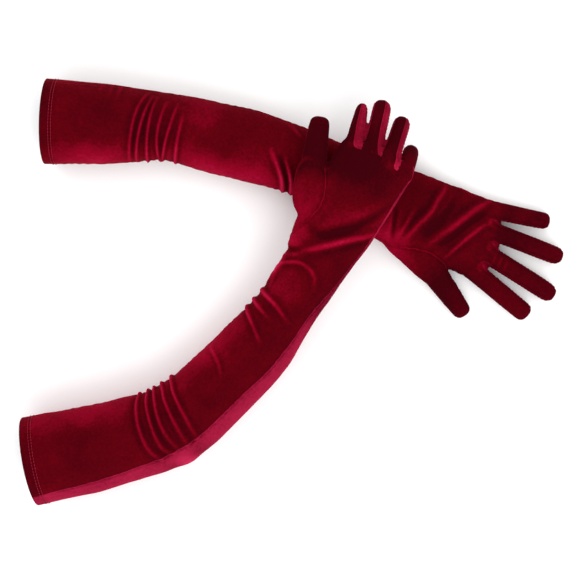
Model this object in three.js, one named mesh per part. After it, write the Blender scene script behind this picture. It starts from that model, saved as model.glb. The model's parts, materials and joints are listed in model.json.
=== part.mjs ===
// A pair of long velvet opera gloves, lying crossed on a table and filled out as if worn.
// The left-hand glove lies flat; the right-hand glove bends at the elbow and its hand crosses
// above the left wrist. Units are millimetres, +Z is up and the table is z = 0.
//
// Every glove is cut and sewn from panels: a back and a palm panel, strips for the backs and
// palms of the fingers, fourchettes between the fingers, a set-in thumb with its gusset, and a
// hem that is turned inwards at the arm opening. Panels are divided where the glove bends.
import * as THREE from 'three';

// ---- driving dimensions -------------------------------------------------------------------
const CLOTH = 1.2;            // thickness of the velvet with its knitted backing
const SEAM_GAP = 0.5;         // clear width between two panels along a seam
const HINGE_GAP = 0.8;        // clear width between two zones where the glove bends
const HEM_WIDTH = 14;         // width of the hem turned inwards at the arm opening
const HEM_CLEARANCE = 2.0;    // between the hem and the panels around it
const ELBOW_SWING = 35;       // degrees each way
const WRIST_SWING = 20;
const THUMB_SWING = 25;
const FINGER_LIFT = 40;
const BEND_MARGIN = 13;       // degrees of extra room at every bend
const FOURCHETTE_SPAN = 42;   // degrees of a finger's section, above and below its middle
const TIP_OPENING = 0.26;     // size of a fingertip's end, as a share of the finger's size
const THUMB_HOLE_HEIGHT = 11.6;
const KNUCKLE_CLEARANCE = 3.5;

const VELVET = 0x5a0418;
const VELVET_PALM = 0x6a061e;
const FOURCHETTE = 0x861033;
const HEM = 0x4a0414;

// Forms are stations [x, y, z of the middle, half width, half height] from the arm opening on.
const LEFT = {
  name: 'left',
  ulnar: 1,                   // the little finger's side is on the left of the way it points
  arm: [
    [-257.0, 179.7, 37.5, 45.0, 42.0],
    [-200.5, 177.3, 35.5, 42.6, 40.0],
    [-158.8, 176.4, 31.8, 38.0, 36.0],
    [-132.6, 174.8, 30.0, 35.9, 34.0],
    [-106.2, 170.1, 29.8, 36.1, 33.5],
    [-74.5, 162.0, 29.2, 38.1, 32.5],
    [-32.3, 151.8, 26.3, 37.4, 29.0],
    [7.0, 139.7, 22.8, 35.6, 25.0],
    [46.0, 123.7, 21.5, 35.3, 23.0],
    [92.0, 102.7, 18.0, 38.6, 19.5],
    [126.0, 88.4, 15.5, 41.3, 17.0],
    [160.0, 74.8, 13.5, 41.7, 15.0],
    [189.0, 62.5, 12.0, 42.6, 13.5],
    [216.4, 50.9, 11.0, 43.6, 12.2],
  ],
  elbow: 3,
  wrist: 9,
  ulnarSeam: [[0, 30], [2, 26], [4, 12], [6, 0]],   // station, degrees above the side
  knuckles: [[-1, 5.5], [-0.82, 4.5], [-0.32, 1.0], [0.27, 6.6], [0.76, 17.0], [1, 21.0]],
  thumbHole: { middle: 10.52, reach: 40 },
  gusset: [
    [129.4, 46.8, 15.0, 28.5, 7.6, -113],
    [125.4, 38.0, 14.2, 27.5, 9.6, -110],
    [137.2, 23.0, 13.0, 18.5, 10.8, -76],
    [154.8, 16.6, 12.0, 12.3, 10.6, -55],
  ],
  thumb: { base: [154.8, 16.6, 12.0], tip: [184.9, -26.9, 10.5], droop: 0, size: [12.3, 10.6] },
  fingers: {
    index: { base: [198.2, 19.7, 12], tip: [253.5, -26.9, 9.5], droop: 0, size: [9.9, 9.0] },
    middle: { base: [209.0, 39.5, 12], tip: [281.4, -7.6, 9.5], droop: 0, size: [10.4, 9.2] },
    ring: { base: [214.8, 64.2, 12], tip: [291.0, 34.7, 9.5], droop: 0, size: [10.3, 9.0] },
    little: { base: [213.7, 88.3, 11.5], tip: [278.2, 74.9, 9.0], droop: 0, size: [9.2, 8.5] },
  },
};

const RIGHT = {
  name: 'right',
  ulnar: -1,
  arm: [
    [-273.1, -178.0, 39.0, 47.0, 43.0],
    [-221.1, -167.6, 38.6, 45.7, 42.5],
    [-168.8, -154.6, 37.5, 44.2, 41.0],
    [-137.3, -145.8, 36.8, 43.2, 40.0],
    [-109.0, -128.0, 35.6, 42.5, 38.5],
    [-78.6, -99.2, 34.2, 40.6, 36.5],
    [-36.4, -56.0, 34.0, 38.5, 33.0],
    [-4.7, -12.6, 43.0, 32.5, 27.0],
    [21.4, 24.0, 54.0, 33.3, 23.0],
    [39.9, 57.1, 60.0, 39.4, 19.0],
    [63.7, 95.3, 63.0, 41.4, 15.5],
    [80.6, 122.8, 63.3, 41.4, 13.6],
    [93.2, 143.5, 63.0, 41.0, 12.3],
  ],
  elbow: 4,
  wrist: 8,
  ulnarSeam: [[0, 46], [3, 52], [5, 50], [7, 30], [9, 0]],
  knuckles: [[-1, 9.0], [-0.68, 8.3], [-0.23, 3.0], [0.24, 1.7], [0.72, 4.1], [1, 6.0]],
  thumbHole: { middle: 9.66, reach: 40 },
  gusset: [
    [24.6, 97.2, 62.2, 26.0, 8.4, 148],
    [14.6, 99.6, 62.5, 24.0, 9.8, 146],
    [16.4, 119.8, 63.5, 15.0, 10.4, 112],
    [24.9, 133.4, 64.0, 10.4, 10.2, 83],
  ],
  thumb: { base: [24.9, 133.4, 64.0], tip: [31.6, 182.3, 62.0], droop: -1, size: [10.4, 10.2] },
  fingers: {
    index: { base: [64.0, 152.0, 63], tip: [74.2, 197.4, 50], droop: 5, size: [8.4, 8.6] },
    middle: { base: [83.3, 147.0, 63], tip: [96.4, 201.7, 45], droop: 6, size: [9.2, 9.0] },
    ring: { base: [101.4, 137.2, 63], tip: [116.5, 184.7, 43], droop: 6, size: [8.8, 8.8] },
    little: { base: [118.2, 124.6, 62], tip: [127.4, 153.2, 38], droop: 6, size: [8.2, 8.2] },
  },
};

// ---- small helpers ------------------------------------------------------------------------
const { degToRad, lerp, clamp } = THREE.MathUtils;
const UP = new THREE.Vector3(0, 0, 1);
const ULNAR_SIDE = 0;                 // angles round a section: 0 ulnar, 90 back, 180 radial
const RADIAL_SIDE = Math.PI;
const noCut = () => 0;

// Reads a list of [place, value] pairs, straight between the pairs and level beyond the ends.
function readTable(table, place) {
  const next = table.findIndex(([at]) => at > place);
  if (next === 0) return table[0][1];
  if (next < 0) return table[table.length - 1][1];
  const [at0, value0] = table[next - 1];
  const [at1, value1] = table[next];
  return lerp(value0, value1, (place - at0) / (at1 - at0));
}

// ---- forms: a spine with an oval section that changes along it ------------------------------
class Form {
  constructor(stations, ulnar, tipLength = 0) {
    const curve = (pick) => new THREE.CatmullRomCurve3(stations.map(pick), false, 'catmullrom', 0.5);
    this.last = stations.length - 1;
    this.ulnar = ulnar;
    this.tipLength = tipLength;
    this.spine = curve(([x, y, z]) => new THREE.Vector3(x, y, z));
    this.sizes = curve(([, , , width, height]) => new THREE.Vector3(width, height, 0));
    this.headings = stations[0].length > 5
      ? stations.map(([, , , , , heading], i) => [i, degToRad(heading)])
      : null;
    this.length = this.spine.getLength();
  }

  heading(place) {
    if (this.headings) return readTable(this.headings, place);
    const tangent = this.spine.getTangent(clamp(place / this.last, 0, 1));
    return Math.atan2(tangent.y, tangent.x);
  }

  // Millimetres of spine for one step from a station to the next, near a place.
  speed(place) {
    const reach = 0.05;
    const before = this.spine.getPoint(clamp((place - reach) / this.last, 0, 1));
    const after = this.spine.getPoint(clamp((place + reach) / this.last, 0, 1));
    const span = Math.min(place + reach, this.last) - Math.max(place - reach, 0);
    return before.distanceTo(after) / span;
  }

  halfSizes(place) {
    const size = this.sizes.getPoint(clamp(place / this.last, 0, 1));
    if (!this.tipLength) return size;
    const fromTip = clamp((1 - place / this.last) * this.length / this.tipLength, 0, 1);
    return size.multiplyScalar(Math.max(Math.sqrt(1 - (1 - fromTip) ** 2), TIP_OPENING));
  }

  // A point on the form at an angle round its section, moved inwards, and never below the table.
  point(place, angle, inset) {
    const size = this.halfSizes(place);
    const heading = this.heading(place);
    const side = new THREE.Vector3(-Math.sin(heading), Math.cos(heading), 0).multiplyScalar(this.ulnar);
    const point = this.spine.getPoint(clamp(place / this.last, 0, 1));
    point.addScaledVector(side, (size.x - inset) * Math.cos(angle));
    point.addScaledVector(UP, (size.y - inset) * Math.sin(angle));
    point.z = Math.max(point.z, inset);
    return point;
  }
}

// ---- a piece of cloth: an outer and an inner face joined round the edge ----------------------
function clothGeometry(surface, rows, columns, isRing, mirrored, outerInset, innerInset) {
  const width = isRing ? columns : columns + 1;
  const layer = (rows + 1) * width;
  const positions = [];
  for (const inset of [outerInset, innerInset]) {
    for (let i = 0; i <= rows; i++) {
      for (let j = 0; j < width; j++) positions.push(...surface(i / rows, j / columns, inset).toArray());
    }
  }
  const outer = (i, j) => i * width + (j % width);
  const inner = (i, j) => outer(i, j) + layer;
  const indices = [];
  const quad = (a, b, c, d) => (mirrored
    ? indices.push(a, c, b, a, d, c)
    : indices.push(a, b, c, a, c, d));
  for (let i = 0; i < rows; i++) {
    for (let j = 0; j < columns; j++) {
      quad(outer(i, j), outer(i, j + 1), outer(i + 1, j + 1), outer(i + 1, j));
      quad(inner(i, j), inner(i + 1, j), inner(i + 1, j + 1), inner(i, j + 1));
    }
  }
  for (let j = 0; j < columns; j++) {
    quad(outer(0, j + 1), outer(0, j), inner(0, j), inner(0, j + 1));
    quad(outer(rows, j), outer(rows, j + 1), inner(rows, j + 1), inner(rows, j));
  }
  if (!isRing) {
    for (let i = 0; i < rows; i++) {
      quad(outer(i + 1, columns), outer(i, columns), inner(i, columns), inner(i + 1, columns));
      quad(outer(i, 0), outer(i + 1, 0), inner(i + 1, 0), inner(i, 0));
    }
  }
  const geometry = new THREE.BufferGeometry();
  geometry.setAttribute('position', new THREE.Float32BufferAttribute(positions, 3));
  geometry.setIndex(indices);
  geometry.computeVertexNormals();
  return geometry;
}

// A panel covers a form from one place to another, between two edges that may run slantwise.
// Its ends are cut back by a distance that depends on the angle round the section.
function panel(form, shape) {
  const { from, to, edges, rows, columns } = shape;
  const { startCut = noCut, endCut = noCut, spacing = (f) => f } = shape;
  const { isRing = false, outerInset = 0, innerInset = CLOTH } = shape;
  const surface = (along, across, inset) => {
    const share = spacing(along);
    const [edge0, edge1] = edges(lerp(from, to, share));
    const angle = lerp(edge0, edge1, across);
    const start = from + startCut(angle) / form.speed(from);
    const end = to - endCut(angle) / form.speed(to);
    return form.point(lerp(start, end, share), angle, inset);
  };
  return clothGeometry(surface, rows, columns, isRing, form.ulnar < 0, outerInset, innerInset);
}

function piece(name, geometry, color) {
  const material = new THREE.MeshStandardMaterial({ color, roughness: 0.85, metalness: 0 });
  const mesh = new THREE.Mesh(geometry, material);
  mesh.name = name;
  return mesh;
}

// Cuts for a bend. About an upright axis the sides give way; about a level axis across the
// form the top and bottom do.
function swingCut(form, place, degrees) {
  const slope = Math.tan(degToRad((degrees + BEND_MARGIN) / 2));
  const { x: halfWidth } = form.halfSizes(place);
  return (angle) => HINGE_GAP / 2 + Math.abs(halfWidth * Math.cos(angle)) * slope;
}

function liftCut(form, place, degrees) {
  const slope = Math.tan(degToRad((degrees + BEND_MARGIN) / 2));
  const { y: halfHeight } = form.halfSizes(place);
  return (angle) => HINGE_GAP / 2 + Math.abs(halfHeight * Math.sin(angle)) * slope;
}

// ---- sub-parts ------------------------------------------------------------------------------
function armPieces(glove, form) {
  const seamTurn = (place) => SEAM_GAP / 2 / form.halfSizes(place).x;
  const ulnarSeam = (place) => degToRad(readTable(glove.ulnarSeam, place));
  const hole = glove.thumbHole;
  // Half the turn that the thumb hole takes out of the radial seam.
  const holeTurn = (place) => {
    const share = (place - hole.middle) * form.speed(hole.middle) / hole.reach;
    if (Math.abs(share) >= 1) return seamTurn(place);
    const height = THUMB_HOLE_HEIGHT * Math.sqrt(1 - share * share);
    return Math.max(seamTurn(place), Math.asin(Math.min(1, height / form.halfSizes(place).y)));
  };
  const backEdges = (place) => [ulnarSeam(place) + seamTurn(place), RADIAL_SIDE - holeTurn(place)];
  const palmEdges = (place) => [
    RADIAL_SIDE + holeTurn(place),
    2 * Math.PI + ulnarSeam(place) - seamTurn(place),
  ];
  const knuckleCut = (angle) => KNUCKLE_CLEARANCE + readTable(glove.knuckles, Math.cos(angle))
    + liftCut(form, form.last, FINGER_LIFT)(angle);
  const elbowCut = swingCut(form, glove.elbow, ELBOW_SWING);
  const wristCut = swingCut(form, glove.wrist, WRIST_SWING);
  const zones = [
    { zone: 'upper', from: 0, to: glove.elbow, endCut: elbowCut, rows: 7 },
    { zone: 'forearm', from: glove.elbow, to: glove.wrist, startCut: elbowCut, endCut: wristCut, rows: 10 },
    { zone: 'hand', from: glove.wrist, to: form.last, startCut: wristCut, endCut: knuckleCut, rows: 10 },
  ];
  return zones.flatMap(({ zone, ...shape }) => [
    piece(`${glove.name}_${zone}_back_panel`,
      panel(form, { ...shape, edges: backEdges, columns: 9 }), VELVET),
    piece(`${glove.name}_${zone}_palm_panel`,
      panel(form, { ...shape, edges: palmEdges, columns: 9 }), VELVET_PALM),
  ]);
}

function hemBand(glove, form) {
  const outerInset = CLOTH + HEM_CLEARANCE;
  const geometry = panel(form, {
    from: 0,
    to: HEM_WIDTH / form.speed(0),
    edges: () => [ULNAR_SIDE, 2 * Math.PI],
    rows: 1,
    columns: 20,
    isRing: true,
    outerInset,
    innerInset: outerInset + CLOTH,
  });
  return piece(`${glove.name}_hem_band`, geometry, HEM);
}

function thumbGusset(glove) {
  const form = new Form(glove.gusset, glove.ulnar);
  const turn = SEAM_GAP / 2 / form.halfSizes(form.last).y;
  const shape = {
    from: 0,
    to: form.last,
    endCut: swingCut(form, form.last, THUMB_SWING),
    rows: 5,
    columns: 7,
  };
  const backEdges = () => [ULNAR_SIDE + turn, RADIAL_SIDE - turn];
  const palmEdges = () => [RADIAL_SIDE + turn, 2 * Math.PI - turn];
  return [
    piece(`${glove.name}_gusset_back_half`, panel(form, { ...shape, edges: backEdges }), VELVET),
    piece(`${glove.name}_gusset_palm_half`, panel(form, { ...shape, edges: palmEdges }), VELVET_PALM),
  ];
}

function digitForm(digit, ulnar) {
  const [halfWidth, halfHeight] = digit.size;
  const base = new THREE.Vector3(...digit.base);
  const tip = new THREE.Vector3(...digit.tip);
  const middle = base.clone().lerp(tip, 0.5).addScaledVector(UP, digit.droop);
  const stations = [base, middle, tip].map((point) => [...point.toArray(), halfWidth, halfHeight]);
  return new Form(stations, ulnar, halfWidth * 1.25);
}

// Rows crowd together towards the fingertip, where the stall rounds off.
const towardsTip = (share) => 1 - (1 - share) ** 1.7;

function thumbStall(glove) {
  const form = digitForm(glove.thumb, glove.ulnar);
  const turn = SEAM_GAP / 2 / form.halfSizes(0).x;
  const shape = {
    from: 0,
    to: form.last,
    startCut: swingCut(form, 0, THUMB_SWING),
    rows: 8,
    columns: 6,
    spacing: towardsTip,
  };
  const backEdges = () => [ULNAR_SIDE + turn, RADIAL_SIDE - turn];
  const palmEdges = () => [RADIAL_SIDE + turn, 2 * Math.PI - turn];
  return [
    piece(`${glove.name}_thumb_back_half`, panel(form, { ...shape, edges: backEdges }), VELVET),
    piece(`${glove.name}_thumb_palm_half`, panel(form, { ...shape, edges: palmEdges }), VELVET_PALM),
  ];
}

// A finger has a back and a palm strip, and a fourchette on each side that faces a neighbour.
function fingerStall(glove, name, digit) {
  const form = digitForm(digit, glove.ulnar);
  const span = degToRad(FOURCHETTE_SPAN);
  const turn = SEAM_GAP / 2 / form.halfSizes(0).y;
  const hasUlnar = name !== 'little';
  const hasRadial = name !== 'index';
  const ulnarEdge = hasUlnar ? span : ULNAR_SIDE;
  const radialEdge = hasRadial ? span : 0;
  const shape = {
    from: 0,
    to: form.last,
    startCut: liftCut(form, 0, FINGER_LIFT),
    rows: 8,
    spacing: towardsTip,
  };
  const strip = (label, edge0, edge1, columns, color) => piece(
    `${glove.name}_${name}_${label}`,
    panel(form, { ...shape, edges: () => [edge0 + turn, edge1 - turn], columns }),
    color,
  );
  const pieces = [
    strip('back_strip', ulnarEdge, RADIAL_SIDE - radialEdge, 4, VELVET),
    strip('palm_strip', RADIAL_SIDE + radialEdge, 2 * Math.PI - ulnarEdge, 4, VELVET_PALM),
  ];
  if (hasUlnar) pieces.push(strip('ulnar_fourchette', -span, span, 2, FOURCHETTE));
  if (hasRadial) {
    pieces.push(strip('radial_fourchette', RADIAL_SIDE - span, RADIAL_SIDE + span, 2, FOURCHETTE));
  }
  return pieces;
}

function makeGlove(glove) {
  const form = new Form(glove.arm, glove.ulnar);
  const group = new THREE.Group();
  group.add(...armPieces(glove, form), hemBand(glove, form));
  group.add(...thumbGusset(glove), ...thumbStall(glove));
  for (const [name, digit] of Object.entries(glove.fingers)) group.add(...fingerStall(glove, name, digit));
  return group;
}

// ---- the pair, centred over the origin --------------------------------------------------------
const pair = new THREE.Group();
pair.add(makeGlove(LEFT), makeGlove(RIGHT));
const middle = new THREE.Box3().setFromObject(pair, true).getCenter(new THREE.Vector3());
pair.position.set(-middle.x, -middle.y, 0);
pair.updateMatrixWorld(true);

export default pair;
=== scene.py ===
"""A pair of long velvet opera gloves, crossed on a pale table.

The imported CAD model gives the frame, the bodies and the joints. Here each glove's skin is
lofted over the forms of the arm and hand that fill it, joined into one surface, gathered and
creased, and then cut along its seams into the pieces of cloth that the glove is sewn from.
Lengths are millimetres until a mesh is made, because Blender's unit in this frame is the metre.
"""
import json
import math

import bpy
import numpy as np
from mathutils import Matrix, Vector


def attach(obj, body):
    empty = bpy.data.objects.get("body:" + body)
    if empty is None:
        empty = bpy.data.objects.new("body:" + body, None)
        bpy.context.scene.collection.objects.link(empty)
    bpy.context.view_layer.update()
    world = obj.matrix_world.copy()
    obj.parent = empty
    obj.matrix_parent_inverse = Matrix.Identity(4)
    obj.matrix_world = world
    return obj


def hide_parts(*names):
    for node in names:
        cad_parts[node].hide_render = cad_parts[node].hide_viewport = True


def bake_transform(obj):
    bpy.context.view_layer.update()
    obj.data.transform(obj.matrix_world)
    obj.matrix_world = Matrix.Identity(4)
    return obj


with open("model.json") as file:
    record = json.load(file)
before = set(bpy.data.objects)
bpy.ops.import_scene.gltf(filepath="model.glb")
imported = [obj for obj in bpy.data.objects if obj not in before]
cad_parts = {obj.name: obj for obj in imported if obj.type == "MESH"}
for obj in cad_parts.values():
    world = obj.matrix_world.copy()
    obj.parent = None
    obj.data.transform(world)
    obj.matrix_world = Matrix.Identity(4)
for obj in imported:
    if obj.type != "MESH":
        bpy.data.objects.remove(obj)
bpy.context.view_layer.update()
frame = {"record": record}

MM = 0.001
SPLINE_STEPS = 24            # points along a form between two of its stations
VOXEL = 1.35                 # size of the cells that join the lofted forms into one skin
SMOOTHING_PASSES = 7
BLOCK = 20000                # points located at one time, to save memory
CLOTH = 0.9                  # thickness of the visible velvet
TABLE_GAP = 0.15             # the cloth's outer face stays at least this high
HEM_WIDTH = 13.0             # turned-in cloth at the arm opening
TOPSTITCH_ROWS = (8.6, 11.4)   # from the arm opening
STITCH_LENGTH = 2.5
STITCH_PITCH = 3.3
RIM_REACH = 9.0              # the skin is lofted this far past the opening, then trimmed
KNUCKLE_REACH = 9.0          # the hand runs this far past the finger joints, to the crotches
KNUCKLE_BLUNT = 24.0         # length over which the hand's end thins to the finger joints
DIGIT_ROOT = -8.0            # from its joint, where a digit's form starts inside the hand
BEND_REACH = {"elbow": 34.0, "wrist": 26.0}   # cloth each side of a joint that would bend with it; read by bend but not used
DIGIT_BEND = 17.0            # cloth past a digit's joint that would bend with it; read by bend but not used
THUMB_CROTCH = 9.0           # past its joint, where the thumb comes clear of the hand's side
STALL_REACH = 1.7            # cloth up to this share of a finger's section belongs to it
THUMB_REACH = 1.35
FOURCHETTE_START = -3.0      # from the finger's joint, where the strip between fingers begins
NO_CUT = -50.0               # a field with this value is not cut there
PILE_LEVEL = 0.27            # level of the painted light and tone before any painted light or shade is added, 0 to 1
CREASE_PAINTED_LIGHT = 0.62          # painted highlight along the top of a high crease, and painted shade beside it
SEAM_PAINTED_HIGHLIGHT = 0.40            # painted highlight right on a seam
HEM_SHADE = 0.12             # painted shade over the turned-in hem
SHEEN_WEIGHT = 0.34
TONE_PLACES = (0.0, 0.33, 0.66, 1.0)   # of a velvet's four tones, from painted shade to painted highlight
# A stitch from end to end: place as a share of its length, radius, height over the cloth.
STITCH_PROFILE = ((-0.5, 0.12, -0.25), (-0.36, 0.26, 0.0), (0.0, 0.3, 0.12),
                  (0.36, 0.26, 0.0), (0.5, 0.12, -0.25))

# Stations of each form: x, y, z of the middle, half width, half height, and in the gusset
# the heading in degrees. Places along a form run from its first station, or joint.
LEFT = {
    "name": "left",
    "ulnar": 1,
    "gather": 30,
    # Painted highlight along the thumb's and the little finger's sides, and painted shade on the digits.
    "painted_side_highlight": {"thumb": 0.27, "ulnar": 0.10},
    "finger_shade": 0.15,
    "arm": [
        (-257.0, 179.7, 37.5, 45.0, 42.0),
        (-200.5, 177.3, 35.5, 42.6, 40.0),
        (-158.8, 176.4, 31.8, 38.0, 36.0),
        (-132.6, 174.8, 30.0, 35.9, 34.0),
        (-106.2, 170.1, 29.8, 36.1, 33.5),
        (-74.5, 162.0, 29.2, 38.1, 32.5),
        (-32.3, 151.8, 26.3, 37.4, 29.0),
        (7.0, 139.7, 22.8, 35.6, 25.0),
        (46.0, 123.7, 21.5, 35.3, 23.0),
        (92.0, 102.7, 18.0, 38.6, 19.5),
        (126.0, 88.4, 15.5, 41.3, 17.0),
        (160.0, 74.8, 13.5, 41.7, 15.0),
        (189.0, 62.5, 12.0, 42.6, 13.5),
        (216.4, 50.9, 11.0, 43.6, 12.2),
    ],
    "elbow": 3,
    "wrist": 9,
    "ulnar_seam": [(0, 30), (55, 28), (125, 14), (200, 8), (520, 8)],
    "knuckles": [(-1, 5.5), (-0.82, 4.5), (-0.32, 0.0), (0.27, 1.6), (0.76, 12.0), (1, 17.0)],
    "thumb_seam": [(360, 49), (389, 43), (406, 41), (422, 37), (437, 35), (449, 37), (458, 40), (466, 49)],
    "gusset": [
        (98.0, 82.0, 14.8, 24.5, 7.0, -28),
        (116.0, 66.0, 14.2, 22.2, 8.4, -46),
        (122.0, 59.0, 14.2, 22.6, 9.4, -48),
        (131.0, 47.5, 14.2, 20.4, 10.4, -49),
        (139.5, 36.5, 13.6, 18.2, 11.0, -50),
        (148.0, 26.0, 12.8, 15.9, 11.0, -52),
        (156.0, 17.2, 12.0, 13.6, 10.6, -54),
    ],
    "digits": {
        "thumb": {"base": (156.0, 17.2, 12.0), "tip": (187.4, -25.6, 10.5), "droop": 0,
                  "size": (12.0, 10.6), "widths": (1.12, 0.98, 0.78), "blunt": 0.62,
                  "cut": 1.5, "fourchettes": {}},
        "index": {"base": (198.8, 20.6, 12), "tip": (254.6, -25.4, 9.5), "droop": 0,
                  "size": (10.8, 9.6), "blunt": 0.7, "cut": 10.0, "start": -4,
                  "fourchettes": {"ulnar": (-46, 32)}},
        "middle": {"base": (210.0, 41.4, 12), "tip": (283.0, -4.8, 9.5), "droop": 0,
                   "wrinkles": (9.0, 16.0, 23.0),
                   "size": (10.8, 9.8), "cut": 12.0, "start": -5,
                   "fourchettes": {"ulnar": (-46, 32), "radial": (148, 226)}},
        "ring": {"base": (215.2, 65.4, 12), "tip": (292.0, 36.4, 9.5), "droop": 0,
                 "size": (10.4, 9.6), "cut": 13.0, "start": -7,
                 "fourchettes": {"ulnar": (-46, 32), "radial": (148, 226)}},
        "little": {"base": (213.7, 88.3, 11.5), "tip": (278.2, 74.9, 9.0), "droop": 0,
                   "size": (9.8, 9.0), "blunt": 0.8, "cut": 12.0, "start": -7,
                   "fourchettes": {"radial": (148, 226)}},
    },
}

RIGHT = {
    "name": "right",
    "ulnar": -1,
    "gather": 6,
    # Painted highlight along the thumb's and the little finger's sides, and painted shade on the digits.
    "painted_side_highlight": {"thumb": 0.27, "ulnar": 0.06},
    "finger_shade": 0.21,
    "arm": [
        (-273.1, -178.0, 39.0, 47.0, 43.0),
        (-221.1, -167.6, 38.6, 45.7, 42.5),
        (-168.8, -154.6, 37.5, 44.2, 41.0),
        (-137.3, -145.8, 36.8, 43.2, 40.0),
        (-108.0, -129.0, 35.6, 42.5, 38.5),
        (-77.2, -100.6, 34.2, 40.6, 36.5),
        (-34.8, -57.6, 34.0, 38.5, 33.0),
        (-2.4, -14.4, 43.0, 32.5, 27.0),
        (22.6, 23.0, 54.0, 33.3, 23.0),
        (39.9, 57.1, 60.0, 39.4, 19.0),
        (63.7, 95.3, 63.0, 41.4, 15.5),
        (80.6, 122.8, 63.3, 41.4, 13.6),
        (93.2, 143.5, 63.0, 41.0, 12.3),
    ],
    "elbow": 4,
    "wrist": 8,
    "ulnar_seam": [(0, 42), (100, 49), (170, 56), (235, 54), (290, 48), (345, 38), (385, 24),
                   (405, 17), (560, 17)],
    "knuckles": [(-1, 9.0), (-0.68, 8.3), (-0.23, 3.0), (0.24, 1.7), (0.72, 4.1), (1, 6.0)],
    "thumb_seam": [(385, 49), (402, 38), (420, 27), (435, 24), (447, 26), (462, 33), (474, 41), (482, 49)],
    "gusset": [
        (42.0, 84.0, 62.0, 22.0, 8.0, 146),
        (28.5, 92.5, 62.2, 23.5, 9.6, 142),
        (20.6, 100.4, 62.5, 22.0, 10.6, 132),
        (18.6, 111.0, 63.2, 18.6, 11.0, 112),
        (21.0, 122.0, 63.8, 15.4, 10.8, 92),
        (23.6, 132.0, 64.0, 13.4, 10.2, 84),
    ],
    "digits": {
        "thumb": {"base": (23.6, 132.0, 64.0), "tip": (31.4, 182.3, 62.0), "droop": -1,
                  "size": (10.8, 10.2), "widths": (1.22, 1.12, 0.94), "blunt": 0.7,
                  "cut": 1.5, "fourchettes": {}},
        "index": {"base": (65.0, 151.0, 63), "tip": (75.6, 195.8, 50), "droop": 5,
                  "size": (9.4, 9.0), "widths": (0.98, 0.86, 0.62), "cut": 7.0,
                  "fourchettes": {"ulnar": (5, 105)}},
        "middle": {"base": (84.3, 146.0, 63), "tip": (97.4, 199.6, 45), "droop": 6,
                   "size": (10.2, 9.6), "cut": 7.0, "start": -6,
                   "fourchettes": {"ulnar": (-12, 74), "radial": (150, 226)}},
        "ring": {"base": (102.4, 136.4, 63), "tip": (118.4, 181.9, 43), "droop": 6,
                 "size": (9.6, 9.2), "cut": 7.0, "start": -11,
                 "fourchettes": {"ulnar": (-16, 68), "radial": (150, 226)}},
        "little": {"base": (118.6, 123.8, 62), "tip": (127.6, 150.6, 38), "droop": 6,
                   "size": (8.8, 8.8), "cut": 7.0, "fourchettes": {"radial": (150, 226)}},
    },
}

# Creases: (height, width, [(place along the arm, degrees round it), ...]). 0 degrees is the
# little finger's side, 90 the back and 180 the thumb's side. A negative height is a hollow.
# Each crease also gets a painted highlight along its top and painted shade beside it; a hollow gets painted
# shade.
LEFT["creases"] = [
    (2.4, 2.1, [(108, 32), (99, 67), (94, 96), (90, 138), (89, 175)]),
    (3.4, 2.0, [(113, 40), (105, 80), (100, 112), (97, 150), (97, 185)]),
    (4.2, 2.0, [(117, 42), (112, 79), (109, 120), (108, 174), (108, 232)]),
    (4.2, 2.1, [(126, 52), (122, 85), (120, 119), (123, 174), (123, 232)]),
    (3.8, 2.1, [(137, 52), (133, 91), (130, 121), (127, 165), (126, 215)]),
    (2.8, 2.2, [(144, 70), (143, 114), (143, 160), (142, 225)]),
    (0.9, 2.4, [(82, 12), (80, 30), (77, 55)]),
    (0.8, 2.2, [(72, 12), (71, 28), (69, 48)]),
    (0.7, 2.2, [(60, 12), (60, 26), (58, 44)]),
    (3.4, 3.0, [(240, 90), (253, 116), (261, 138), (265, 167), (266, 200)]),
    (-2.6, 2.6, [(252, 96), (262, 122), (268, 145), (270, 185)]),
    (3.4, 2.6, [(257, 98), (268, 123), (274, 150), (276, 195)]),
    (1.2, 3.0, [(252, 28), (258, 38), (266, 52)]),
    (2.5, 3.8, [(428, 24), (424, 60), (421, 85), (413, 110), (406, 142)]),
    (-1.4, 4.4, [(441, 38), (438, 70), (432, 95), (423, 122)]),
    (2.3, 4.2, [(479, 15), (461, 60), (450, 88), (440, 111), (430, 136)]),
    (-1.6, 3.4, [(480, 42), (466, 72), (456, 96), (445, 122)]),
    (2.3, 2.6, [(484, 62), (475, 81), (468, 98), (461, 118), (454, 146)]),
    (1.8, 3.2, [(404, 88), (402, 110), (399, 142)]),
    (-2.4, 2.8, [(385, 96), (390, 122), (394, 152)]),
    (2.0, 5.0, [(438, 2), (446, 10), (454, 18)]),
]
RIGHT["creases"] = [
    (4.4, 2.5, [(132, 240), (130, 174), (124, 135), (123, 104), (127, 74), (135, 50)]),
    (4.2, 2.4, [(149, 240), (146, 172), (139, 133), (137, 98), (139, 68), (146, 53)]),
    (4.2, 2.4, [(159, 240), (156, 166), (149, 123), (147, 91), (151, 58)]),
    (4.2, 2.5, [(173, 235), (169, 158), (164, 129), (161, 92), (160, 54)]),
    (4.8, 2.6, [(192, 240), (186, 163), (179, 131), (174, 96), (170, 55)]),
    (3.6, 2.6, [(309, 235), (304, 174), (294, 126), (282, 92)]),
    (3.4, 2.6, [(319, 235), (315, 170), (311, 130), (308, 104)]),
    (3.0, 2.8, [(332, 235), (328, 168), (324, 113), (316, 72)]),
    (1.6, 2.2, [(242, 160), (237, 120), (229, 98)]),
    (3.0, 9.0, [(336, 200), (352, 178), (366, 172), (376, 190)]),
    (2.3, 2.8, [(338, 150), (360, 168), (372, 136), (377, 111), (373, 84), (360, 68)]),
    (-3.2, 4.6, [(384, 190), (386, 160), (389, 128), (392, 112)]),
    (3.4, 4.0, [(384, 136), (397, 104), (410, 80), (426, 56), (447, 14)]),
    (-2.4, 5.0, [(416, 128), (413, 104), (429, 76), (448, 55), (476, 28)]),
    (2.0, 2.8, [(448, 180), (462, 173), (476, 156)]),
    (2.6, 9.0, [(150, 46), (153, 8), (155, -30)]),
]
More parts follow.
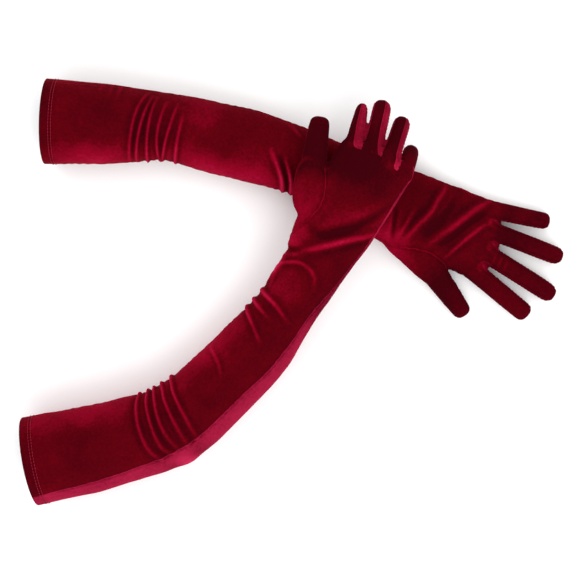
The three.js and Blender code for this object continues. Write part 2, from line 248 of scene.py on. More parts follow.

# Painted pools of light (or painted shade, below nought): amount, reach, place, degrees round.
LEFT["shades"] = [
    (0.22, 30, (230, 150)), (0.25, 26, (180, 160)), (0.22, 26, (60, 165)), (0.18, 22, (160, 60)),
    (0.16, 24, (395, 150)), (-0.08, 24, (60, 80)), (-0.08, 28, (195, 85)), (0.14, 18, (475, 110)),
    (-0.12, 46, (435, 90)), (-0.10, 18, (500, 60)), (-0.23, 34, (456, 182)),
]
RIGHT["shades"] = [
    (0.10, 28, (448, 100)), (0.12, 24, (398, 165)), (0.16, 24, (345, 120)), (0.14, 30, (240, 150)),
    (0.12, 24, (80, 150)), (-0.08, 34, (60, 95)), (-0.08, 30, (215, 85)), (-0.10, 24, (300, 70)),
    (-0.25, 32, (504, 84)), (-0.12, 20, (425, 60)),
    (-0.24, 34, (464, 184)), (-0.08, 22, (478, 130)), (-0.24, 26, (350, 8)), (-0.24, 24, (388, 2)),
]


# ---- curves and forms -------------------------------------------------------------------
def spline(points, steps=SPLINE_STEPS):
    """A smooth curve through the points, with the same number of steps between each two."""
    p = np.asarray(points, float)
    p = np.vstack([2 * p[0] - p[1], p, 2 * p[-1] - p[-2]])
    t = np.arange(steps)[:, None] / steps
    out = []
    for a, b, c, d in zip(p[:-3], p[1:-2], p[2:-1], p[3:]):
        out.append(0.5 * (2 * b + (c - a) * t + (2 * a - 5 * b + 4 * c - d) * t ** 2
                          + (3 * b - a - 3 * c + d) * t ** 3))
    return np.vstack(out + [p[-2:-1]])


def read_table(table, place):
    return np.interp(place, [row[0] for row in table], [row[1] for row in table])


def unit(v):
    return v / np.maximum(np.linalg.norm(v, axis=-1, keepdims=True), 1e-9)


class Form:
    """A spine with an oval section, read by distance along it and angle round it."""

    def __init__(self, stations, ulnar, level=True, tip=0.0):
        table = spline([s[:5] for s in stations])
        self.spine = table[:, :3]
        self.size = table[:, 3:5]
        self.tip = tip
        steps = np.linalg.norm(np.diff(self.spine, axis=0), axis=1)
        self.along = np.concatenate([[0], np.cumsum(steps)])
        self.length = self.along[-1]
        tangent = unit(np.gradient(self.spine, self.along, axis=0))
        if len(stations[0]) > 5:
            turn = np.radians(spline([[s[5]] for s in stations])[:, 0])
            tangent = np.stack([np.cos(turn), np.sin(turn), 0 * turn], axis=1)
        flat = unit(tangent * [1, 1, 0])
        self.tangent = flat if level else tangent
        self.side = np.stack([-flat[:, 1], flat[:, 0], 0 * flat[:, 0]], axis=1) * ulnar
        self.up = unit(np.cross(self.tangent, self.side)) * ulnar

    def read(self, values, along):
        inside = np.clip(along, 0, self.length)
        return np.stack([np.interp(inside, self.along, column) for column in values.T], axis=-1)

    def middle(self, along):
        over = along - np.clip(along, 0, self.length)
        return self.read(self.spine, along) + unit(self.read(self.tangent, along)) * over[..., None]

    def point(self, along, angle, inset=0.0):
        along, angle = np.broadcast_arrays(np.asarray(along, float), np.asarray(angle, float))
        size = self.read(self.size, along) * self.rounding(along)[..., None]
        size = np.maximum(size - np.asarray(inset)[..., None], 0.05)
        across = unit(self.read(self.side, along)) * (size[..., :1] * np.cos(angle)[..., None])
        upward = unit(self.read(self.up, along)) * (size[..., 1:] * np.sin(angle)[..., None])
        return self.middle(along) + across + upward

    def rounding(self, along):
        if not self.tip:
            return np.ones_like(along)
        share = np.clip((self.length - along) / self.tip, 0, 1)
        return np.maximum((1 - (1 - share) ** 2.5) ** (1 / 2.5), 0.02)

    def locate(self, points, use_height):
        """Distance along, degrees round, share of the section from its middle, distance across."""
        columns = slice(0, 3 if use_height else 2)
        spine = self.spine[:, columns]
        nearest = np.empty(len(points), int)
        for start in range(0, len(points), BLOCK):
            block = points[start:start + BLOCK, columns]
            nearest[start:start + BLOCK] = np.argmin((spine ** 2).sum(1) - 2 * block @ spine.T, axis=1)
        offset = points - self.spine[nearest]
        forward = (offset * self.tangent[nearest]).sum(1)
        along = self.along[nearest] + forward
        offset = points - self.middle(along)
        size = self.read(self.size, along)
        across = (offset * unit(self.read(self.side, along))).sum(1)
        upward = (offset * unit(self.read(self.up, along))).sum(1)
        angle = np.degrees(np.arctan2(upward / size[:, 1], across / size[:, 0]))
        share = np.hypot(across / size[:, 0], upward / size[:, 1])
        return along, angle, share, across


def shift_from_frame():
    """The CAD model is centred on the row's origin; its left elbow joint says by how much."""
    joint = next(j for j in frame["record"]["behaviour"]["joints"] if j["name"] == "left_elbow_bend")
    return np.array(joint["pos_m"]) / MM - np.array(LEFT["arm"][LEFT["elbow"]][:3])


SHIFT = shift_from_frame()


def moved(row):
    return tuple(np.array(row[:3]) + SHIFT) + tuple(row[3:])


def arm_form(glove):
    return Form([moved(row) for row in glove["arm"]], glove["ulnar"])


def digit_form(glove, name):
    digit = glove["digits"][name]
    base, tip = np.array(digit["base"]) + SHIFT, np.array(digit["tip"]) + SHIFT
    centre = base + (tip - base) * 0.5 + np.array([0, 0, digit["droop"]])
    wide, high = digit["size"]
    at_base, at_middle, at_tip = digit.get("widths", (1.0, 0.98, 0.94))
    rows = [(*base, wide * at_base, high), (*centre, wide * at_middle, high * 0.98),
            (*tip, wide * at_tip, high * 0.92)]
    return Form(rows, glove["ulnar"], level=False, tip=wide * digit.get("blunt", 1.1))


# ---- raw meshes ---------------------------------------------------------------------------
def ring_faces(count, around, base=0, joined=False):
    """Four-sided faces between rings that follow each other, or go right round when joined."""
    faces = []
    for i in range(count if joined else count - 1):
        here, there = base + i * around, base + (i + 1) % count * around
        for j in range(around):
            k = (j + 1) % around
            faces.append((here + j, here + k, there + k, there + j))
    return faces


def loft(rings):
    """Vertices and faces of a closed body through rings of points."""
    count, around = len(rings), len(rings[0])
    vertices = [p for ring in rings for p in ring] + [rings[0].mean(0), rings[-1].mean(0)]
    faces = ring_faces(count, around)
    first, last = count * around, count * around + 1
    top = (count - 1) * around
    for j in range(around):
        k = (j + 1) % around
        faces.append((first, k, j))
        faces.append((last, top + j, top + k))
    return np.array(vertices), faces


def arm_volume(glove, form):
    """The sleeve and the hand in one body, which ends along the line of the knuckles."""
    angle = np.radians(np.arange(0, 360, 4.0))
    end = form.length - read_table(glove["knuckles"], np.cos(angle)) + KNUCKLE_REACH
    rings = []
    for place in np.arange(-RIM_REACH, form.length - KNUCKLE_BLUNT, 3.0):
        rings.append(form.point(np.full_like(angle, place), angle))
    for share in np.linspace(0, 1, 10):
        along = form.length - KNUCKLE_BLUNT + (end - form.length + KNUCKLE_BLUNT) * share
        thin = 3.2 * max(0.0, share - 0.55) / 0.45
        rings.append(form.point(along, angle, np.full_like(angle, thin)))
    return loft(rings)


def form_volume(form, start):
    angle = np.radians(np.arange(0, 360, 10))
    places = np.append(np.arange(start, form.length - 0.2, 2.0), form.length)
    if form.tip:
        fine = form.length - form.tip * (1 - np.sin(np.linspace(0, np.pi / 2, 9)))
        places = np.concatenate([places[places < fine[0] - 0.5], fine])
    return loft([form.point(np.full_like(angle, place), angle) for place in places])


def joined_skin(glove):
    """One closed skin over the sleeve, the hand, the thumb's gusset and the digits."""
    arm = arm_form(glove)
    gusset = Form([moved(row) for row in glove["gusset"]], glove["ulnar"])
    bodies = [arm_volume(glove, arm), form_volume(gusset, 0.0)]
    digits = {}
    for name in glove["digits"]:
        digits[name] = digit_form(glove, name)
        bodies.append(form_volume(digits[name], DIGIT_ROOT))
    vertices, faces, offset = [], [], 0
    for v, f in bodies:
        vertices.append(v)
        faces += [tuple(i + offset for i in face) for face in f]
        offset += len(v)
    points = np.vstack(vertices)
    points[:, 2] = np.maximum(points[:, 2], 0.0)
    mesh = bpy.data.meshes.new("skin")
    mesh.from_pydata((points * MM).tolist(), [], faces)
    body = bpy.data.objects.new("skin", mesh)
    bpy.context.collection.objects.link(body)
    remesh = body.modifiers.new("join", "REMESH")
    remesh.mode = "VOXEL"
    remesh.voxel_size = VOXEL * MM
    depsgraph = bpy.context.evaluated_depsgraph_get()
    result = bpy.data.meshes.new_from_object(body.evaluated_get(depsgraph))
    points, triangles = mesh_arrays(result)
    bpy.data.objects.remove(body)
    bpy.data.meshes.remove(mesh)
    bpy.data.meshes.remove(result)
    return points, triangles, arm, digits


def mesh_arrays(mesh):
    points = np.empty(len(mesh.vertices) * 3, np.float32)
    mesh.vertices.foreach_get("co", points)
    mesh.calc_loop_triangles()
    triangles = np.empty(len(mesh.loop_triangles) * 3, np.int32)
    mesh.loop_triangles.foreach_get("vertices", triangles)
    return points.reshape(-1, 3).astype(float) / MM, triangles.reshape(-1, 3)


def neighbour_mean(points, edges):
    total = np.zeros_like(points)
    count = np.zeros(len(points))
    for a, b in ((0, 1), (1, 0)):
        np.add.at(total, edges[:, a], points[edges[:, b]])
        np.add.at(count, edges[:, a], 1)
    return total / np.maximum(count, 1)[:, None]


def sides_of(triangles):
    return np.vstack([triangles[:, [0, 1]], triangles[:, [1, 2]], triangles[:, [2, 0]]]).astype(np.int64)


def edges_of(triangles, wanted=None):
    """Each edge once, as two columns of vertex numbers, the lower one first."""
    pairs = sides_of(triangles)
    if wanted is not None:
        pairs = pairs[wanted(pairs[:, 0], pairs[:, 1])]
    size = pairs.max(initial=0) + 1
    keys = np.unique(pairs.min(axis=1) * size + pairs.max(axis=1))
    return np.stack([keys // size, keys % size], axis=1)


def smoothed(points, triangles, passes):
    edges = edges_of(triangles)
    for _ in range(passes):
        points = points + 0.5 * (neighbour_mean(points, edges) - points)
    return points


def vertex_normals(points, triangles):
    a, b, c = (points[triangles[:, i]] for i in range(3))
    face = np.cross(b - a, c - a)
    normals = np.zeros_like(points)
    for i in range(3):
        np.add.at(normals, triangles[:, i], face)
    return unit(normals)


# ---- surface detail -------------------------------------------------------------------------
def polyline_distance(points, line):
    """Distance of flat points from a line of points, and how far along it the nearest is."""
    line = np.asarray(line, float)
    steps = np.linalg.norm(np.diff(line, axis=0), axis=1)
    starts = np.concatenate([[0], np.cumsum(steps)])
    best = np.full(len(points), 1e9)
    share = np.zeros(len(points))
    for a, b, start, step in zip(line[:-1], line[1:], starts, steps):
        d = b - a
        t = np.clip(((points - a) @ d) / (d @ d), 0, 1)
        distance = np.linalg.norm(points - (a + t[:, None] * d), axis=1)
        closer = distance < best
        best = np.where(closer, distance, best)
        share = np.where(closer, (start + t * step) / starts[-1], share)
    return best, share


def crease_relief(glove, form, along, angle):
    """Height of the creases, and the painted highlight on their tops and painted shade beside them.

    A crease is a soft ridge with a shallow trough on each side, fading at both ends.
    """
    relief, nap = np.zeros(len(along)), np.zeros(len(along))
    radius = form.read(form.size, along).mean(1)
    turned = np.where(angle < -90, angle + 360, angle)
    for height, width, line in glove["creases"]:
        smooth = spline(line, 6)
        close = (along > smooth[:, 0].min() - 5 * width) & (along < smooth[:, 0].max() + 5 * width)
        index = np.nonzero(close)[0]
        around = radius[index].mean()
        flat = np.stack([along[index], np.radians(turned[index]) * around], axis=1)
        path = np.stack([smooth[:, 0], np.radians(smooth[:, 1]) * around], axis=1)
        distance, share = polyline_distance(flat, path)
        fade = np.sqrt(np.clip(np.sin(np.pi * np.clip(share, 0.02, 0.98)), 0, 1))
        crest = np.exp(-(distance / width) ** 2)
        ridge = crest - 0.42 * np.exp(-(distance / (2.4 * width)) ** 2)
        relief[index] += height * fade * ridge
        wide = np.exp(-(distance / (2.0 * width)) ** 2)
        # Painted highlight on the crest, painted shade in the troughs beside it.
        nap[index] += CREASE_PAINTED_LIGHT * np.clip(height / 3, -0.7, 1) * fade * (1.6 * crest - 0.9 * wide)
    return relief, nap


def cloth_noise(points, size, seed):
    """Gentle unevenness between about -1 and 1: waves in many directions added together."""
    number = np.arange(1, 13) + seed * 0.37
    turns = [np.sin(number * 2.4), np.cos(number * 1.7), np.sin(number * 3.9 + 1)]
    directions = unit(np.stack(turns, axis=1))
    lengths = size * (1.0 + 0.5 * np.sin(number * 5.3))
    phases = points @ directions.T * (2 * np.pi / lengths) + number * 7.1
    return np.sin(phases).sum(1) / 3.5


def seam_relief(distance, along, seed):
    """A stitched seam: a narrow groove between two soft lips, with small puckers beside it."""
    lips = 0.25 * np.exp(-((np.abs(distance) - 2.6) / 1.6) ** 2)
    groove = -0.4 * np.exp(-(distance / 1.2) ** 2) + lips
    wave = np.sin(along * 0.62 + 2.0 * np.sin(along * 0.11 + seed)) * np.sin(along * 0.043 + seed)
    return groove + 0.3 * wave * np.exp(-(distance / 5.0) ** 2)


def seam_shade(distance):
    """Painted shade in a narrow band each side of a seam."""
    return -0.10 * np.exp(-((np.abs(distance) - 1.6) / 1.4) ** 2)


def round_angle(angle):
    return (angle + 180) % 360 - 180


def back_share(angle, seam):
    """Degrees inside the back panel: positive on the back, negative on the palm."""
    past = round_angle(angle - seam)
    width = 180 - seam
    far = past < -(360 - width) / 2
    return np.where(far, width - (past + 360), np.minimum(past, width - past))


def smooth_step(x, low, high):
    t = np.clip((x - low) / (high - low), 0, 1)
    return t * t * (3 - 2 * t)


def new_vertices(triangles, cut, first):
    """The new vertex on each side of each triangle, or -1 where that side isn't cut."""
    triangles = triangles.astype(np.int64)
    marks = np.full(triangles.shape, -1)
    if not len(cut):
        return marks
    size = triangles.max() + 1
    keys = cut[:, 0].astype(np.int64) * size + cut[:, 1]
    order = np.argsort(keys)
    keys = keys[order]
    for side in range(3):
        a, b = triangles[:, side], triangles[:, (side + 1) % 3]
        key = np.minimum(a, b) * size + np.maximum(a, b)
        at = np.clip(np.searchsorted(keys, key), 0, len(keys) - 1)
        marks[:, side] = np.where(keys[at] == key, first + order[at], -1)
    return marks


def divided(triangles, marks):
    """Each triangle cut in two, three or four at the new vertices on its sides."""
    count = (marks >= 0).sum(1)
    out = [triangles[count == 0]]
    for turn in range(3):
        a, b, c = (triangles[:, (turn + i) % 3] for i in range(3))
        ab, ca = marks[:, turn], marks[:, (turn + 2) % 3]
        one = (count == 1) & (ab >= 0)
        two = (count == 2) & (ab >= 0) & (ca >= 0)
        for chosen, corners in ((one, (a, ab, c)), (one, (ab, b, c)), (two, (a, ab, ca)),
                                (two, (ab, b, c)), (two, (ab, c, ca))):
            out.append(np.stack([corner[chosen] for corner in corners], axis=1))
    three = count == 3
    a, b, c = triangles[three].T
    ab, bc, ca = marks[three].T
    for corners in ((a, ab, ca), (ab, b, bc), (ca, bc, c), (ab, bc, ca)):
        out.append(np.stack(corners, axis=1))
    return np.vstack(out).astype(np.int64)


class Skin:
    """A glove's surface with the values that say where each vertex lies on the glove."""

    def __init__(self, glove):
        self.glove = glove
        self.points, self.triangles, self.arm, self.digits = joined_skin(glove)
        self.points = smoothed(self.points, self.triangles, SMOOTHING_PASSES)
        self.values = {"nap": np.zeros(len(self.points))}
        self.locate()
        self.crease()
        self.locate()

    def locate(self):
        """Works out where each vertex lies; the painted light and tone are kept."""
        glove, arm = self.glove, self.arm
        along, angle, _, across = arm.locate(self.points, use_height=False)
        radius = arm.read(arm.size, along).mean(1)
        ulnar_seam = read_table(glove["ulnar_seam"], along)
        thumb_seam = glove["thumb_seam"]
        first, last = thumb_seam[0][0], thumb_seam[-1][0]
        thumb_edge = read_table([(first - 8, 80), *thumb_seam, (last + 6, 80)], along)
        self.values = {
            "nap": self.values["nap"],
            "along": along,
            "angle": angle,
            "back": np.radians(back_share(angle, ulnar_seam)) * radius,
            "gusset": -across - thumb_edge,
        }
        reach = []
        for name, form in self.digits.items():
            d_along, d_angle, d_share = np.full((3, len(self.points)), [[-90.0], [0.0], [9.0]])
            centre = (form.spine[0] + form.spine[-1]) / 2
            close = np.linalg.norm(self.points - centre, axis=1) < form.length / 2 + 45
            located = form.locate(self.points[close], use_height=True)
            d_along[close], d_angle[close], d_share[close] = located[:3]
            extended = np.where(d_along > -22, d_share, 9.0)
            reach.append(np.where(d_along < form.length + 4, extended, 9.0))
            self.values[name + "_along"] = d_along
            self.values[name + "_angle"] = d_angle
            self.values[name + "_share"] = d_share
        self.nearest = np.argmin(np.array(reach), axis=0)

    def crease(self):
        """Moves the surface into its folds and seams, and paints light and shade on them."""
        glove, arm, v = self.glove, self.arm, self.values
        seed = 3 if glove["ulnar"] > 0 else 8
        normals = vertex_normals(self.points, self.triangles)
        relief, nap = crease_relief(glove, arm, v["along"], v["angle"])
        calm = smooth_step(v["along"], 4.0, 34.0)
        finger = np.max([smooth_step(v[name + "_along"], -6, 10) for name in self.digits], axis=0)
        relief += (0.45 * cloth_noise(self.points, 60.0, seed)
                   + 0.12 * cloth_noise(self.points, 21.0, seed + 1)) * (1 - 0.6 * finger)
        relief *= calm
        hand_end = arm.length - 20
        on_arm = 1 - smooth_step(v["along"], hand_end, hand_end + 16)
        fade = on_arm * smooth_step(v["along"], 13.0, 20.0)
        relief += seam_relief(v["back"], v["along"], seed) * fade * (v["gusset"] < 0)
        thumb_zone = (v["thumb_along"] < 6) & (np.abs(v["gusset"]) < 12)
        relief += seam_relief(v["gusset"], v["along"], seed + 2) * 0.8 * thumb_zone
        for row in TOPSTITCH_ROWS:
            relief -= 0.3 * np.exp(-((v["along"] - row) / 0.9) ** 2)
        # Painted shade beside the long seam and the thumb's seam.
        nap += seam_shade(v["back"]) * fade * (v["gusset"] < 0)
        nap += seam_shade(v["gusset"]) * thumb_zone
        # Painted shade over the turned-in hem.
        hem_shade_mask = 1 - smooth_step(v["along"], 9.0, 13.0)
        v["nap"] = nap * calm + self.broad_painted_light_and_tone() - HEM_SHADE * hem_shade_mask
        self.raise_by(normals, relief)

    def raise_by(self, normals, relief):
        self.points = self.points + normals * relief[:, None]
        self.points[:, 2] = np.maximum(self.points[:, 2], TABLE_GAP)

    def broad_painted_light_and_tone(self):
        """The broad painted light and shade of the cloth, with random tone, before its creases and seams.
        """
        glove, arm, v = self.glove, self.arm, self.values
        across = np.cos(np.radians(v["angle"]))
        sheen = glove["painted_side_highlight"]
        dark_from = {"thumb": -26}
        finger = np.max([smooth_step(v[name + "_along"], dark_from.get(name, 0), 22)
                         for name in self.digits], axis=0)
        # Painted highlight on the sides, where light grazes the velvet; painted shade on the digits.
        edges = sheen["thumb"] * smooth_step(-across, 0.3, 1.0)
        edges += sheen["ulnar"] * smooth_step(across, 0.4, 1.0)
        shade = PILE_LEVEL + edges * (1 - 0.8 * finger) - glove["finger_shade"] * finger
        radius = arm.read(arm.size, v["along"]).mean(1)
        # Painted pools of light and shade.
        for amount, reach, (along, degrees) in glove["shades"]:
            round_way = np.radians(round_angle(v["angle"] - degrees)) * radius
            shade += amount * np.exp(-((v["along"] - along) ** 2 + round_way ** 2) / reach ** 2)
        shade += 0.03 * cloth_noise(self.points, 44.0, 5)
        return shade + 0.015 * cloth_noise(self.points, 15.0, 6)

    def split(self, field, line=0.0, near=8.0):
        """Cuts triangles so that field changes sign only at vertices; line adds a painted highlight along
        the cut.
        """
        clear = np.abs(field) > 1e-6
        cut = edges_of(self.triangles, lambda a, b: ((field[a] > 0) != (field[b] > 0))
                       & (np.abs(field[a] - field[b]) < near) & clear[a] & clear[b])
        low, high = cut.T
        share = np.clip(field[low] / (field[low] - field[high]), 0.04, 0.96)
        t = share[:, None]
        first = len(self.points)
        self.points = np.vstack([self.points, self.points[low] * (1 - t) + self.points[high] * t])
        if hasattr(self, "normals"):
            between = unit(self.normals[low] * (1 - t) + self.normals[high] * t)
            self.normals = np.vstack([self.normals, between])
        for key, values in self.values.items():
            start, end = values[low], values[high]
            if key.endswith("angle"):
                end = start + round_angle(end - start)
            self.values[key] = np.append(values, start * (1 - share) + end * share)
        # Painted highlight along the cut.
        self.values["nap"][first:] += np.broadcast_to(line, len(field))[low]
        self.nearest = np.append(self.nearest, self.nearest[low])
        self.triangles = divided(self.triangles, new_vertices(self.triangles, cut, first))

    def at_faces(self, key):
        return self.values[key][self.triangles].mean(1)


# ---- cutting the skin into pieces -----------------------------------------------------------
def digit_values(skin, name):
    return (skin.values[name + "_along"], skin.values[name + "_angle"], skin.values[name + "_share"])


def on_digit(skin, name):
    """Vertices near one digit's stall, from a little behind its base to its tip."""
    along, _, share = digit_values(skin, name)
    index = list(skin.digits).index(name)
    return (along > -20) & (share < STALL_REACH) & (skin.nearest == index)


def fourchette_field(skin, name, side):
    """Positive on the strip: between two angles, and past a rounded end at the finger's base."""
    along, angle, _ = digit_values(skin, name)
    form = skin.digits[name]
    low, high = skin.glove["digits"][name]["fourchettes"][side]
    radius = form.size[0].mean()
    spread = skin.glove["gather"] * (1 - smooth_step(along, 4.0, 18.0))
    low, high = (low, high + spread) if side == "ulnar" else (low - spread, high)
    centre, half = (low + high) / 2, np.radians(high - low) / 2 * radius
    narrow = half * (0.66 + 0.34 * smooth_step(along, -2.0, 24.0))
    across = np.abs(np.radians(round_angle(angle - centre))) * radius
    start = fourchette_start(skin, name) + 5.0 * (1 - np.sqrt(np.clip(1 - (across / narrow) ** 2, 0, 1)))
    return np.minimum(narrow - across, along - start)


def fourchette_start(skin, name):
    return skin.glove["digits"][name].get("start", FOURCHETTE_START)


def seam_lines(skin):
    """The stitched seams of the digits sink into the cloth, and their ends pucker; beside the seams the
    colour gets painted shade, and the gathered ends and finger wrinkles a painted highlight.
    """
    normals = vertex_normals(skin.points, skin.triangles)
    relief = np.zeros(len(skin.points))
    for name, digit in skin.glove["digits"].items():
        near = on_digit(skin, name)
        along, angle, _ = digit_values(skin, name)
        for side in digit["fourchettes"]:
            field = fourchette_field(skin, name, side)
            groove = -0.3 * np.exp(-(field / 0.9) ** 2) + 0.2 * np.exp(-((np.abs(field) - 2.2) / 1.2) ** 2)
            gathered = 1.0 if side == "ulnar" else 0.3
            past = along - fourchette_start(skin, name) - 3
            end = np.exp(-(past / 5.0) ** 2) * (np.abs(field) < 6) * gathered
            pucker = 0.6 * np.sin(np.radians(angle) * 11) * end
            ripple = 0.22 * np.sin(along * 1.5 + np.radians(angle) * 2) * smooth_step(field, 0.4, 2.0)
            relief += np.where(near, groove + pucker + ripple, 0)
            # Painted shade beside the strip's seam, painted highlight on its gathered end.
            skin.values["nap"] += np.where(near, 0.8 * seam_shade(field) + 0.26 * end, 0)
        for place in digit.get("wrinkles", ()):
            across = np.exp(-((angle - 96) / 34) ** 2)
            ridge = np.exp(-((along - place - (angle - 96) * 0.03) / 1.5) ** 2) * across
            relief += np.where(near, 0.9 * ridge, 0)
            # Painted highlight along the wrinkle's top.
            skin.values["nap"] += np.where(near, 0.3 * ridge, 0)
        if not digit["fourchettes"]:
            for edge in (0, 180):
                across = np.radians(round_angle(angle - edge)) * 10.5
                line = -0.5 * np.exp(-(across / 0.9) ** 2)
                relief += np.where(near & (along > 0), line, 0)
                # Painted shade beside the thumb's seams.
                skin.values["nap"] += np.where(near & (along > 0), seam_shade(across), 0)
    skin.raise_by(normals, relief)


def cut_skin(skin):
    """Cuts along every seam and every plane where two pieces meet, and paints a highlight along the seams.
    """
    skin.split(skin.values["along"])
    middle = split_place(skin)
    skin.split(skin.values["along"] - middle)
    # Where the long seam gets its painted highlight: past the hem and short of the knuckles.
    long_seam_highlight_mask = smooth_step(skin.values["along"], 12.0, 18.0)
    knuckles = skin.arm.length - smooth_step(skin.values["angle"], -90, 90) * 4
    long_seam_highlight_mask *= 1 - smooth_step(skin.values["along"], knuckles - 26.0, knuckles - 14.0)
    skin.split(skin.values["back"], SEAM_PAINTED_HIGHLIGHT * long_seam_highlight_mask)
    thumb_side = skin.values["thumb_along"] < skin.glove["digits"]["thumb"]["cut"] + 4
    seam_from = skin.glove["thumb_seam"][2][0]
    # Where the thumb's seam gets its painted highlight.
    thumb_seam_highlight_mask = smooth_step(skin.values["along"], seam_from - 4, seam_from + 14)
    skin.split(np.where(thumb_side, skin.values["gusset"], NO_CUT), SEAM_PAINTED_HIGHLIGHT * thumb_seam_highlight_mask)
    for name, digit in skin.glove["digits"].items():
        along, _, _ = digit_values(skin, name)
        skin.split(np.where(on_digit(skin, name), along - digit["cut"], NO_CUT))
        for side in digit["fourchettes"]:
            near = on_digit(skin, name)
            # The strips' seams get a painted highlight along the cut.
            skin.split(np.where(near, fourchette_field(skin, name, side), NO_CUT), SEAM_PAINTED_HIGHLIGHT * 0.6)
        low, high = 0.0, 180.0
        along, angle, _ = digit_values(skin, name)
        across = np.radians(np.minimum(round_angle(angle - low), high - np.abs(round_angle(angle)))) * 10
        across = np.where(angle < 0, -np.radians(np.minimum(-angle, 180 + angle)) * 10, across)
        # The digits' side seams get a painted highlight along the cut.
        skin.split(np.where(on_digit(skin, name) & (along > 0), across, NO_CUT), SEAM_PAINTED_HIGHLIGHT)


def split_place(skin):
    """Where the long sleeve's pieces meet, half way between the elbow and the wrist."""
    arm, glove = skin.arm, skin.glove
    return (joint_place(arm, glove["elbow"]) + joint_place(arm, glove["wrist"])) / 2


def joint_place(arm, station):
    """Distance along the arm of one of its stations."""
    return arm.along[station * SPLINE_STEPS]


def label_faces(skin):
    """Names the piece that each triangle belongs to."""
    glove, values = skin.glove, skin.values
    mean = {key: skin.at_faces(key) for key in ("along", "back", "gusset")}
    back = mean["back"] > 0
    middle = split_place(skin)
    label = np.where(mean["along"] < middle, "sleeve", "hand").astype("U32")
    label = np.char.add(label, np.where(back, "_back", "_palm"))
    first_corner = skin.triangles[:, 0]
    is_gusset = (mean["gusset"] > 0) & (mean["along"] > middle)
    label = np.where(is_gusset, np.where(back, "gusset_back", "gusset_palm"), label)
    owner = skin.nearest[first_corner]
    for index, (name, digit) in enumerate(glove["digits"].items()):
        along = skin.at_faces(name + "_along")
        share = skin.at_faces(name + "_share")
        first_angle = values[name + "_angle"][first_corner]
        near = (owner == index) & (share < (THUMB_REACH if name == "thumb" else STALL_REACH))
        stall = near & (along > digit["cut"])
        angles = values[name + "_angle"][skin.triangles]
        turn = first_angle + round_angle(angles - first_angle[:, None]).mean(1)
        side = np.where(round_angle(turn) > 0, "_back", "_palm")
        label = np.where(stall, np.char.add(name, side), label)
        for which in digit["fourchettes"]:
            field = fourchette_field(skin, name, which)[skin.triangles].mean(1)
            label = np.where(near & (along > fourchette_start(skin, name)) & (field > 0),
                             f"{name}_{which}_fourchette", label)
    return label


# ---- materials ------------------------------------------------------------------------------
def new_material(name):
    material = bpy.data.materials.new(name)
    material.use_nodes = True
    nodes, links = material.node_tree.nodes, material.node_tree.links
    nodes.clear()
    shader = nodes.new("ShaderNodeBsdfPrincipled")
    output = nodes.new("ShaderNodeOutputMaterial")
    links.new(shader.outputs["BSDF"], output.inputs["Surface"])
    return material, nodes, links, shader


def noise_node(nodes, links, coordinates, scale, detail):
    node = nodes.new("ShaderNodeTexNoise")
    node.inputs["Scale"].default_value = scale
    node.inputs["Detail"].default_value = detail
    links.new(coordinates.outputs["Object"], node.inputs["Vector"])
    return node


def ramp_node(nodes, links, level, stops):
    """A colour ramp through stops, each a place from 0 to 1 and a colour."""
    node = nodes.new("ShaderNodeValToRGB")
    elements = node.color_ramp.elements
    for place, _ in stops[1:-1]:
        elements.new(place)
    for element, (place, color) in zip(elements, stops):
        element.position = place
        element.color = (*color, 1)
    links.new(level, node.inputs["Fac"])
    return node


def matt(shader, roughness, specular):
    shader.inputs["Roughness"].default_value = roughness
    shader.inputs["Specular IOR Level"].default_value = specular


def velvet(name, tones, sheen):
    """Short pile. Its colour runs through four tones, from painted shade to painted highlight, as the
    vertex attribute of painted light and tone says, with random tufts of tone.
    """
    material, nodes, links, shader = new_material(name)
    place = nodes.new("ShaderNodeTexCoord")
    # Vertex attribute of painted light and shade, with some random tone of the cloth.
    light_and_tone_attribute = nodes.new("ShaderNodeAttribute")
    light_and_tone_attribute.attribute_name = "nap"
    level = light_and_tone_attribute.outputs["Fac"]
    for scale, detail, amount in ((38.0, 2.0, 0.05), (330.0, 3.0, 0.17), (900.0, 1.0, 0.12)):
        tuft = noise_node(nodes, links, place, scale, detail)
        level = add_centred(nodes, links, level, tuft.outputs["Fac"], amount)
    tone = ramp_node(nodes, links, level, list(zip(TONE_PLACES, tones)))
    links.new(tone.outputs["Color"], shader.inputs["Base Color"])
    soft = bump_node(nodes, links, noise_node(nodes, links, place, 190.0, 3.0), 0.22, 0.0006)
    fine = bump_node(nodes, links, noise_node(nodes, links, place, 1500.0, 2.0), 0.35, 0.0002)
    links.new(soft.outputs["Normal"], fine.inputs["Normal"])
    links.new(fine.outputs["Normal"], shader.inputs["Normal"])
    matt(shader, 0.92, 0.02)
    shader.inputs["Sheen Weight"].default_value = SHEEN_WEIGHT
    shader.inputs["Sheen Roughness"].default_value = 0.3
    shader.inputs["Sheen Tint"].default_value = (*sheen, 1)
    return material


def add_centred(nodes, links, level, extra, amount):
    """level plus amount times how far extra is from its middle value."""
    node = nodes.new("ShaderNodeMath")
    node.operation = "MULTIPLY_ADD"
    node.inputs[1].default_value = amount * 2
    links.new(extra, node.inputs[0])
    shifted = nodes.new("ShaderNodeMath")
    shifted.operation = "SUBTRACT"
    shifted.inputs[1].default_value = amount
    links.new(level, shifted.inputs[0])
    links.new(shifted.outputs[0], node.inputs[2])
    return node.outputs[0]


def bump_node(nodes, links, source, strength, distance):
    node = nodes.new("ShaderNodeBump")
    node.inputs["Strength"].default_value = strength
    node.inputs["Distance"].default_value = distance
    links.new(source.outputs["Fac"], node.inputs["Height"])
    return node


